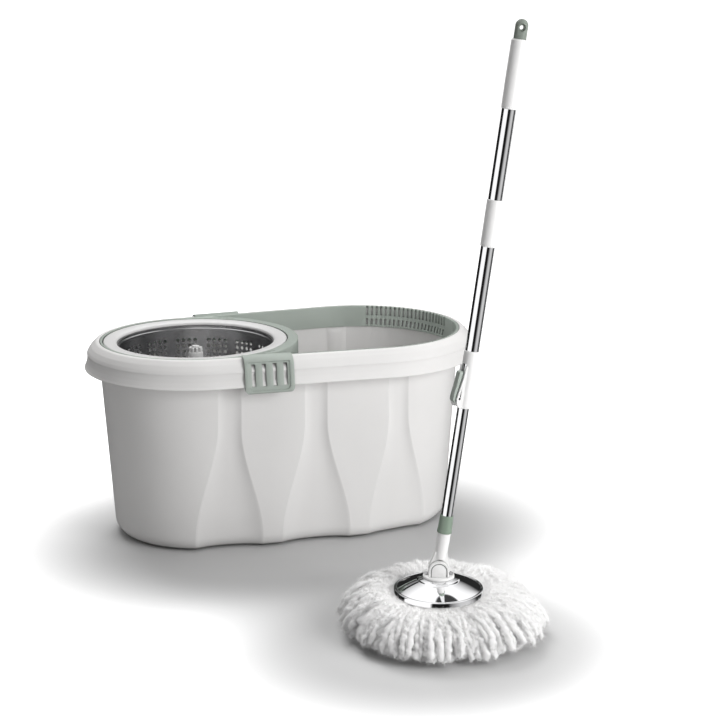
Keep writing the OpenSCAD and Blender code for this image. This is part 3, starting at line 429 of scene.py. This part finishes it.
def flute_at(i, z):
    """Where flute i is centred along the crest: its top stands off its foot by its lean."""
    return HALF_LEN / 2 + FLUTE_SHIFT + (i - 1) * FLUTE_PITCH + FLUTE_LEAN[i] * smooth(z / WALL_TOP)


def half_stations(z):
    """Stations round the front half at z: (distance along the crest, share of flute depth)."""
    w = flute_half(z)
    start = flute_at(0, z) - w
    out = [((1 - (1 - k / END_STEPS) ** END_SPREAD) * start, 0.0) for k in range(END_STEPS)]
    for i in range(3):
        c = flute_at(i, z)
        for k in range(FLUTE_STEPS):
            x = 2 * k / FLUTE_STEPS - 1
            out.append((c + w * x, 1 - abs(x) ** SCOOP))
        if i < 2:
            end = flute_at(i + 1, z) - w
            out += [(mix(c + w, end, (1 - math.cos(math.pi * k / PANEL_STEPS)) / 2), 0.0)
                    for k in range(PANEL_STEPS)]
        else:
            out += [(mix(c + w, HALF_LEN, (k / END_STEPS) ** END_SPREAD), 0.0)
                    for k in range(END_STEPS)]
    return out + [(HALF_LEN, 0.0)]


def ring_at(z, d):
    deep = 0.0 if d > 0 else flute_depth(z)
    front = [crest_point(t, draft(z, t, d) + d - s * deep) for t, s in half_stations(z)]
    back = [Vector((p.x, -p.y)) for p in front[-2:0:-1]]
    return [(p.x, p.y, z) for p in front + back]


def tub_section():
    """The wall's section from foot, over the crest, to inner floor: (distance out, height)."""
    def down(out, drop):
        return (out + WALL_IN, CREST - drop * MM)

    underside = [
        down(-WALL_IN, BAND_DROP), down(WALL_T - SEAT_IN, 13.5), down(WALL_T - SEAT_IN, 4.4),
        down(3 * MM, 3.4), down(8 * MM, 5.2), down(10.4 * MM, 9),
        down(SHOULDER_OUT - 2.8 * MM, SHOULDER_DROP), down(SHOULDER_OUT - 2.9 * MM, 18.6),
        down(SKIRT_OUT - 5.4 * MM, 24), down(SKIRT_OUT - WALL_T, SKIRT_DROP),
    ]
    skirt = [
        down(SKIRT_OUT, SKIRT_DROP), down(SKIRT_OUT, 32.4), down(SKIRT_OUT - 1 * MM, 31),
        down(SKIRT_OUT - 3 * MM, 25), down(SHOULDER_OUT - 0.6 * MM, 19.4),
        down(SHOULDER_OUT - 0.6 * MM, 16.8), down(SHOULDER_OUT, SHOULDER_DROP),
    ]
    crown = [
        down(SHOULDER_OUT - 1.7 * MM, 11.6), down(9 * MM, 6.2), down(3.4 * MM, 0.9),
        down(0.4 * MM, 0),
    ]
    seat = [
        down(-LIP_IN, 0.6), down(-LIP_IN, 3.7), down(-SEAT_IN, 3.7), down(-SEAT_IN, 13.5),
        down(-WALL_IN - WALL_T, BAND_DROP),
    ]
    rim = underside + skirt + crown + seat
    rim = rounded([(0, WALL_TOP)] + rim + [(-WALL_T, WALL_TOP)], 0.9 * MM, 3)
    foot = [(-FOOT_ROUND * (1 - math.sin(a)), FOOT_ROUND * (1 - math.cos(a)))
            for a in [math.pi / 2 * k / 10 for k in range(11)]]
    r = FOOT_ROUND - WALL_T
    inner_foot = [(-WALL_T - r * (1 - math.sin(a)), FLOOR_T + r * (1 - math.cos(a)))
                  for a in [math.pi / 2 * k / 6 for k in range(6, -1, -1)]]
    levels = 44
    wall = [mix(FOOT_ROUND, WALL_TOP, k / levels) for k in range(1, levels)]
    section = [Vector(p) for p in foot] + [Vector((0, z)) for z in wall] + rim
    section += [Vector((-WALL_T, z)) for z in reversed(wall)] + [Vector(p) for p in inner_foot]
    return section


def build_tub():
    rings = [ring_at(p.y, p.x) for p in tub_section()]
    count = len(rings[0])
    verts = [v for ring in rings for v in ring]
    faces = grid_faces(len(rings), count)
    faces.append(tuple(range(count - 1, -1, -1)))
    faces.append(tuple(range((len(rings) - 1) * count, len(rings) * count)))
    return make_object("tub_moulding", verts, faces)


tub = own(build_tub(), "bucket", "white_plastic", tub_plastic, "tub")
tub.visible_glossy = False


# ------------------------------------------------------------------ mop plate

plate_low, plate_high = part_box("mop_plate")
PLATE_R = (plate_high.x - plate_low.x) / 2
PLATE_Z, PLATE_TOP = plate_low.z, plate_high.z
DOME_H = PLATE_TOP - PLATE_Z
BAND = 5.6 * MM
STEP_R = PLATE_R * 0.475
DISC_R = 17 * MM


def build_plate():
    """The polished plate: a rim band, a dome, a step, and a flat with a hole in the middle."""
    z = PLATE_Z
    dome = []
    for k in range(25):
        u = k / 24
        rise = (DOME_H - BAND - 3.2 * MM) * (1.25 * u - 0.25 * u * u)
        dome.append((mix(PLATE_R - 3 * MM, STEP_R + 1.2 * MM, u), z + BAND - 0.2 * MM + rise))
    top = [(PLATE_R, z), (PLATE_R, z + BAND - 0.6 * MM), (PLATE_R - 0.6 * MM, z + BAND),
           (PLATE_R - 1.6 * MM, z + BAND + 0.2 * MM), (PLATE_R - 2.4 * MM, z + BAND - 0.2 * MM)]
    step = [(STEP_R, z + DOME_H - 3 * MM), (STEP_R - 0.8 * MM, z + DOME_H - 1.2 * MM),
            (DISC_R + 0.5 * MM, z + DOME_H), (7 * MM, z + DOME_H)]
    outer = top + dome + step
    inner = [(r - 0.5 * MM, h - MM) for r, h in reversed(outer[3:-1])]
    outline = outer + [(7 * MM, z + DOME_H - MM)] + inner
    outline += [(PLATE_R - 1.2 * MM, z + BAND - 1.2 * MM), (PLATE_R - 1.2 * MM, z)]
    return lathe("polished_plate", outline, MOP, 192, 0.8 * MM, 3)


own(build_plate(), "mop_head", "chrome_steel", chrome, "mop_plate")

# ------------------------------------------------------------------ fringe

fringe_low, fringe_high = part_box("fringe")
FRINGE_R = (fringe_high.x - fringe_low.x) / 2
FRINGE_H = fringe_high.z
# The side on which the pile stands taller, and how the strands are divided
FLOP = Vector((0.3206, 0.9472))
STRAND_SIDES = 10
STRAND_RINGS = 36
STRAND_TIP = 0.07
# Layers from the top down: (depth, strands). Each group: its name, its layers, its fine fibres
LAYERS = [(0.0, 140), (0.08, 140), (0.22, 122), (0.45, 104), (0.72, 84), (1.0, 66)]
GROUPS = [("top", LAYERS[:1], 195000), ("upper", LAYERS[1:3], 195000),
          ("lower", LAYERS[3:], 190000)]
FIBRE_SHORT, FIBRE_LONG, FIBRE_HALF_WIDTH = 2.5, 7.0, 0.14 * MM


def strand_route(rng, angle, deep):
    """A strand's thickness and, in its own upright plane, its control points from the root."""
    toward = math.cos(angle) * FLOP.x + math.sin(angle) * FLOP.y
    reach = FRINGE_R * mix(0.985, 0.80, deep ** 1.1) * rng.uniform(0.90, 1.02)
    reach *= 1 + 0.045 * math.cos(angle) + 0.02 * toward + rng.choice((-0.06, -0.02, 0, 0, 0.01))
    thick = rng.uniform(3.2, 4.6) * MM
    low = thick * 1.1 + mix(12, 0.4, deep ** 0.5) * MM * rng.uniform(0.2, 1.0)
    crown = mix(FRINGE_H - thick * 1.3 - (4 - 6.5 * toward) * MM, 28 * MM, deep)
    crown *= rng.uniform(0.93, 1.0)
    start_z = mix(PLATE_Z - thick - 1.5 * MM, 11 * MM, deep)
    return thick, [
        Vector((PLATE_R - 5 * MM, 0, start_z)),
        Vector((PLATE_R + 10 * MM, 0, crown * 1.02)),
        Vector((reach * rng.uniform(0.88, 0.96), 0, crown * rng.uniform(0.98, 1.06))),
        Vector((reach, 0, low)),
    ]


def bezier(p, u):
    v = 1 - u
    return p[0] * v ** 3 + p[1] * 3 * u * v * v + p[2] * 3 * u * u * v + p[3] * u ** 3


def strand(verts, faces, tracks, rng, angle, deep):
    """One soft lumpy strand: its skin goes to verts and faces, its line and thickness to tracks."""
    thick, route = strand_route(rng, angle, deep)
    sway = rng.uniform(-0.09, 0.09)
    wave = rng.uniform(0.8, 2.6) * MM
    phase = rng.uniform(0, 6.28)
    beads = rng.uniform(6, 9)
    path = []
    for k in range(STRAND_RINGS):
        u = k / (STRAND_RINGS - 1)
        p = bezier(route, u)
        p.y = wave * math.sin(8 * u + phase) + sway * 0.4 * u * u * p.x
        p.z += wave * 0.5 * math.sin(11 * u + 2 * phase) * u
        a = angle + sway * u
        path.append(Vector((p.x * math.cos(a) - p.y * math.sin(a),
                            p.x * math.sin(a) + p.y * math.cos(a), p.z)))
    first = len(verts)
    track = []
    for k, p in enumerate(path):
        u = k / (STRAND_RINGS - 1)
        ahead = path[min(k + 1, STRAND_RINGS - 1)] - path[max(k - 1, 0)]
        ahead.normalize()
        side = ahead.cross(Vector((0, 0, 1)))
        side = side.normalized() if side.length > 1e-4 else Vector((1, 0, 0))
        up = side.cross(ahead)
        round_end = math.sqrt(max(0.0, 1 - max(0.0, (u - 1 + STRAND_TIP) / STRAND_TIP) ** 2))
        r = thick * (0.92 + 0.13 * math.sin(6.283 * beads * u + phase)) * (0.72 + 0.34 * u)
        r *= max(0.05, round_end)
        track.append((p, ahead, side, up, r))
        for j in range(STRAND_SIDES):
            b = 2 * math.pi * j / STRAND_SIDES + 7 * u
            q = p + (side * math.cos(b) + up * math.sin(b)) * r
            lump = noise.noise(q * 240) * 2.4 * MM + noise.noise(q * 650) * 1.0 * MM
            q += (q - p).normalized() * lump * min(1, r / thick * 2)
            q.z = max(q.z, 0.3 * MM)
            verts.append((MOP.x + q.x, MOP.y + q.y, q.z))
    faces += grid_faces(STRAND_RINGS, STRAND_SIDES, first)
    last = first + (STRAND_RINGS - 1) * STRAND_SIDES
    faces.append(tuple(range(first + STRAND_SIDES - 1, first - 1, -1)))
    faces.append(tuple(range(last, last + STRAND_SIDES)))
    tracks.append(track)


def fibres(name, tracks, total, seed):
    """Short fine fibres that stand out of the strands, each one a narrow triangle."""
    dice = np.random.default_rng(seed)
    each = total // len(tracks)
    corners = []
    for track in tracks:
        line, ahead, side, up = (np.array([t[i] for t in track]) for i in range(4))
        thick = np.array([t[4] for t in track])
        at = dice.uniform(1, len(track) - 1.001, each)
        k = at.astype(int)
        f = (at - k)[:, None]
        centre = line[k] * (1 - f) + line[k + 1] * f
        radius = thick[k] * (1 - f[:, 0]) + thick[k + 1] * f[:, 0]
        b = dice.uniform(0, 2 * math.pi, each)[:, None]
        out = side[k] * np.cos(b) + up[k] * np.sin(b)
        root = centre + out * radius[:, None] * 0.8
        aim = out + ahead[k] * dice.uniform(0.1, 1.3, (each, 1)) + dice.normal(0, 0.35, (each, 3))
        aim /= np.linalg.norm(aim, axis=1)[:, None]
        tip = root + aim * dice.uniform(FIBRE_SHORT, FIBRE_LONG, (each, 1)) * MM
        wide = np.cross(aim, dice.normal(0, 1, (each, 3)))
        wide *= FIBRE_HALF_WIDTH / np.linalg.norm(wide, axis=1)[:, None]
        corners.append(np.stack([root - wide, root + wide, tip], axis=1))
    corners = np.concatenate(corners).reshape(-1, 3)
    corners[:, 2] = np.maximum(corners[:, 2], 0.2 * MM)
    corners += np.array([MOP.x, MOP.y, 0])
    mesh = bpy.data.meshes.new(name)
    mesh.from_pydata(corners.tolist(), [], np.arange(len(corners)).reshape(-1, 3).tolist())
    obj = bpy.data.objects.new(name, mesh)
    bpy.context.scene.collection.objects.link(obj)
    return obj


def build_fringe():
    rng = random.Random(7)
    made = []
    for seed, (name, layers, total) in enumerate(GROUPS):
        verts, faces, tracks = [], [], []
        for deep, n in layers:
            for k in range(n):
                angle = 2 * math.pi * (k + rng.uniform(-0.4, 0.4) + deep * 3) / n
                strand(verts, faces, tracks, rng, angle, deep)
        strands = make_object("fringe_strands_" + name, verts, faces)
        fine = fibres("fringe_fibres_" + name, tracks, total, seed)
        fine.visible_shadow = False
        made.append(own(strands, "mop_head", "microfibre", fluff))
        made.append(own(fine, "mop_head", "microfibre", fibre))
    return made


def build_under_mass():
    """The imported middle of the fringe, which shows only between strands."""
    r, h = FRINGE_R, FRINGE_H
    outline = [(0, 1 * MM), (r * 0.58, 1 * MM), (r * 0.76, h * 0.10), (r * 0.86, h * 0.34),
               (r * 0.83, h * 0.56), (r * 0.68, h * 0.68), (PLATE_R + 1 * MM, h * 0.64),
               (PLATE_R - 4 * MM, PLATE_Z - 8 * MM), (0, PLATE_Z - 8 * MM)]
    obj = lathe("fringe_middle", outline, MOP, 160, 8 * MM, 5)
    for v in obj.data.vertices:
        away = Vector((v.co.x - MOP.x, v.co.y - MOP.y, 0))
        toward = (away.x * FLOP.x + away.y * FLOP.y) / max(away.length, 1e-6)
        if away.length > PLATE_R + 2 * MM:
            v.co += away.normalized() * noise.noise(v.co * 110) * 6 * MM
            v.co.z *= 1 + 0.14 * toward
            v.co.z = max(v.co.z, MM)
    return obj


pieces = [own(build_under_mass(), "mop_head", "microfibre", fluff, "fringe")] + build_fringe()
for piece in pieces:
    piece.visible_glossy = False

# ------------------------------------------------------------------ small rounds on the CAD parts

for node, width in {
    "splash_guard": 0.35, "basket_ring": 0.4, "hinge_base": 0.35, "socket": 0.4, "clamp_body": 0.4,
    "clamp_lever": 0.5, "basket_post": 0.3, "hub_flange": 0.4, "wash_rotor": 0.4, "end_cap": 0.3,
}.items():
    soften(node, width * MM)

# ------------------------------------------------------------------ studio

# Share of a turn from -X round by -Y, and what polished surfaces find there
STUDIO_STOPS = [
    (0.0, 1.0), (0.140, 1.0), (0.154, 0.01), (0.252, 0.01), (0.275, 0.22), (0.33, 0.55),
    (0.39, 0.60), (0.44, 0.30), (0.472, 0.02), (0.54, 0.02), (0.56, 0.7), (0.60, 0.7),
    (0.62, 0.02), (0.950, 0.008), (0.964, 1.0), (1.0, 1.0),
]
STUDIO_STRENGTH = 1.2
# A dark flag high up, as polished surfaces find it: its direction, and its soft edge
FLAG_AT = (0.239, 0.138, 0.961)
FLAG_EDGE = (0.972, 0.980)
MATT_LEVEL = 0.265
FLOOR_WHITE, FLOOR_BOUNCE = 0.62, 0.50
FLOOR_SIZE = 40.0
# Painted shade pools: near these places the floor gets no whitening glow and stays grey, beside its
# real shadow: centre, stretch along X, from, to
PAINTED_SHADE_POOLS = [((0.0, -0.06), 1.3, 0.17, 0.37), ((MOP.x - 0.02, MOP.y - 0.03), 1.1, 0.11, 0.28)]


def round_the_room(tree, source):
    """The studio's level in the direction that source gives, by its turn about the vertical."""
    split = tree.nodes.new("ShaderNodeSeparateXYZ")
    link(tree, source, split.inputs["Vector"])
    turn = tree.nodes.new("ShaderNodeMath")
    turn.operation = "ARCTAN2"
    link(tree, split.outputs["Y"], turn.inputs[0])
    link(tree, split.outputs["X"], turn.inputs[1])
    share = tree.nodes.new("ShaderNodeMapRange")
    share.inputs["From Min"].default_value = -math.pi
    share.inputs["From Max"].default_value = math.pi
    link(tree, turn.outputs["Value"], share.inputs["Value"])
    ramp = tree.nodes.new("ShaderNodeValToRGB")
    while len(ramp.color_ramp.elements) < len(STUDIO_STOPS):
        ramp.color_ramp.elements.new(0.5)
    for element, (at, level) in zip(ramp.color_ramp.elements, STUDIO_STOPS):
        element.position = at
        element.color = (level, level, level, 1)
    link(tree, share.outputs["Result"], ramp.inputs["Fac"])
    return split, ramp


def emission(tree, level, kind="ShaderNodeEmission", strength=1.0):
    node = tree.nodes.new(kind)
    node.inputs["Strength"].default_value = strength
    if isinstance(level, float):
        node.inputs["Color"].default_value = (level, level, level, 1)
    else:
        link(tree, level, node.inputs["Color"])
    return node.outputs[0]


def choose(tree, when, otherwise, then):
    pick = tree.nodes.new("ShaderNodeMixShader")
    link(tree, when, pick.inputs["Fac"])
    link(tree, otherwise, pick.inputs[1])
    link(tree, then, pick.inputs[2])
    return pick.outputs["Shader"]


def build_world():
    """White to the camera, grey to matt surfaces, soft boxes and dark flags to polished ones."""
    world = bpy.data.worlds.new("studio")
    world.use_nodes = True
    tree = world.node_tree
    tree.nodes.clear()
    out = tree.nodes.new("ShaderNodeOutputWorld")
    path = tree.nodes.new("ShaderNodeLightPath")
    coords = tree.nodes.new("ShaderNodeTexCoord")
    split, ramp = round_the_room(tree, coords.outputs["Generated"])
    high = tree.nodes.new("ShaderNodeMapRange")
    high.inputs["From Min"].default_value = 0.35
    high.inputs["From Max"].default_value = 0.75
    link(tree, split.outputs["Z"], high.inputs["Value"])
    lift = tree.nodes.new("ShaderNodeMix")
    lift.data_type = "RGBA"
    lift.inputs[7].default_value = (1, 1, 1, 1)
    link(tree, high.outputs["Result"], lift.inputs[0])
    link(tree, ramp.outputs["Color"], lift.inputs[6])
    flag = tree.nodes.new("ShaderNodeVectorMath")
    flag.operation = "DOT_PRODUCT"
    flag.inputs[1].default_value = FLAG_AT
    link(tree, coords.outputs["Generated"], flag.inputs[0])
    cover = tree.nodes.new("ShaderNodeMapRange")
    cover.interpolation_type = "SMOOTHSTEP"
    cover.inputs["From Min"].default_value = FLAG_EDGE[0]
    cover.inputs["From Max"].default_value = FLAG_EDGE[1]
    cover.inputs["To Min"].default_value = 1.0
    cover.inputs["To Max"].default_value = 0.05
    link(tree, flag.outputs["Value"], cover.inputs["Value"])
    shaded = tree.nodes.new("ShaderNodeVectorMath")
    shaded.operation = "SCALE"
    link(tree, lift.outputs[2], shaded.inputs[0])
    link(tree, cover.outputs["Result"], shaded.inputs["Scale"])
    kind = "ShaderNodeBackground"
    seen = choose(tree, path.outputs["Is Glossy Ray"], emission(tree, MATT_LEVEL, kind),
                  emission(tree, shaded.outputs["Vector"], kind, STUDIO_STRENGTH))
    seen = choose(tree, path.outputs["Is Camera Ray"], seen, emission(tree, 1.0, kind))
    link(tree, seen, out.inputs["Surface"])
    bpy.context.scene.world = world


def area_light(name, at, look, size, power):
    data = bpy.data.lights.new(name, "AREA")
    data.shape = "RECTANGLE"
    data.size, data.size_y = size
    data.energy = power
    obj = bpy.data.objects.new(name, data)
    obj.location = at
    obj.rotation_euler = (Vector(look) - Vector(at)).to_track_quat("-Z", "Y").to_euler()
    obj.visible_glossy = False
    obj.visible_camera = False
    bpy.context.scene.collection.objects.link(obj)


def build_floor():
    """A pale floor: it takes the shadow, and glows whiter with distance from the object's rest
    places, which leaves painted shade pools around them; it shows metal the studio.
    """
    corners = [(x * FLOOR_SIZE, y * FLOOR_SIZE, 0) for x, y in ((-1, -1), (1, -1), (1, 1), (-1, 1))]
    obj = make_object("floor", corners, [(0, 1, 2, 3)], shade=False)
    mat, tree, bsdf = new_material("floor_paper")
    bsdf.inputs["Base Color"].default_value = (FLOOR_WHITE, FLOOR_WHITE, FLOOR_WHITE, 1)
    bsdf.inputs["Roughness"].default_value = 1.0
    bsdf.inputs["Specular IOR Level"].default_value = 0.0
    path = tree.nodes.new("ShaderNodeLightPath")
    coords = tree.nodes.new("ShaderNodeTexCoord")
    near = []
    # Painted shade: the glow is held back within each pool, so the floor there is grey whether or
    # not a shadow falls.
    for centre, narrow, inside, outside in PAINTED_SHADE_POOLS:
        place = tree.nodes.new("ShaderNodeMapping")
        place.vector_type = "TEXTURE"
        place.inputs["Location"].default_value = (centre[0], centre[1], 0)
        place.inputs["Scale"].default_value = (narrow, 1, 1)
        link(tree, coords.outputs["Object"], place.inputs["Vector"])
        apart = tree.nodes.new("ShaderNodeVectorMath")
        apart.operation = "LENGTH"
        link(tree, place.outputs["Vector"], apart.inputs[0])
        glow = tree.nodes.new("ShaderNodeMapRange")
        glow.interpolation_type = "SMOOTHSTEP"
        glow.inputs["From Min"].default_value = inside
        glow.inputs["From Max"].default_value = outside
        link(tree, apart.outputs["Value"], glow.inputs["Value"])
        near.append(glow)
    both = tree.nodes.new("ShaderNodeMath")
    both.operation = "MULTIPLY"
    link(tree, near[0].outputs["Result"], both.inputs[0])
    link(tree, near[1].outputs["Result"], both.inputs[1])
    lit_plus_glow = tree.nodes.new("ShaderNodeAddShader")
    link(tree, bsdf.outputs["BSDF"], lit_plus_glow.inputs[0])
    link(tree, emission(tree, both.outputs["Value"]), lit_plus_glow.inputs[1])
    shift = tree.nodes.new("ShaderNodeVectorMath")
    shift.operation = "SUBTRACT"
    shift.inputs[1].default_value = (MOP.x, MOP.y, 0)
    link(tree, coords.outputs["Object"], shift.inputs[0])
    _, ramp = round_the_room(tree, shift.outputs["Vector"])
    bounce = tree.nodes.new("ShaderNodeBsdfDiffuse")
    bounce.inputs["Color"].default_value = (FLOOR_BOUNCE, FLOOR_BOUNCE, FLOOR_BOUNCE, 1)
    seen = choose(tree, path.outputs["Is Camera Ray"], bounce.outputs["BSDF"],
                  lit_plus_glow.outputs["Shader"])
    seen = choose(tree, path.outputs["Is Glossy Ray"], seen,
                  emission(tree, ramp.outputs["Color"], strength=STUDIO_STRENGTH))
    link(tree, seen, tree.nodes["Material Output"].inputs["Surface"])
    dress(obj, mat)


build_world()
area_light("top", (0.1, -0.15, 2.5), (0.05, -0.15, 0.0), (1.6, 1.6), 12)
area_light("back", (0.0, 1.3, 1.9), (0.0, -0.15, 0.1), (1.4, 1.0), 32)
area_light("right_front", (0.8, -1.45, 0.6), (0.05, -0.15, 0.35), (0.8, 1.1), 17.5)
build_floor()
bpy.context.scene.view_settings.view_transform = "Standard"
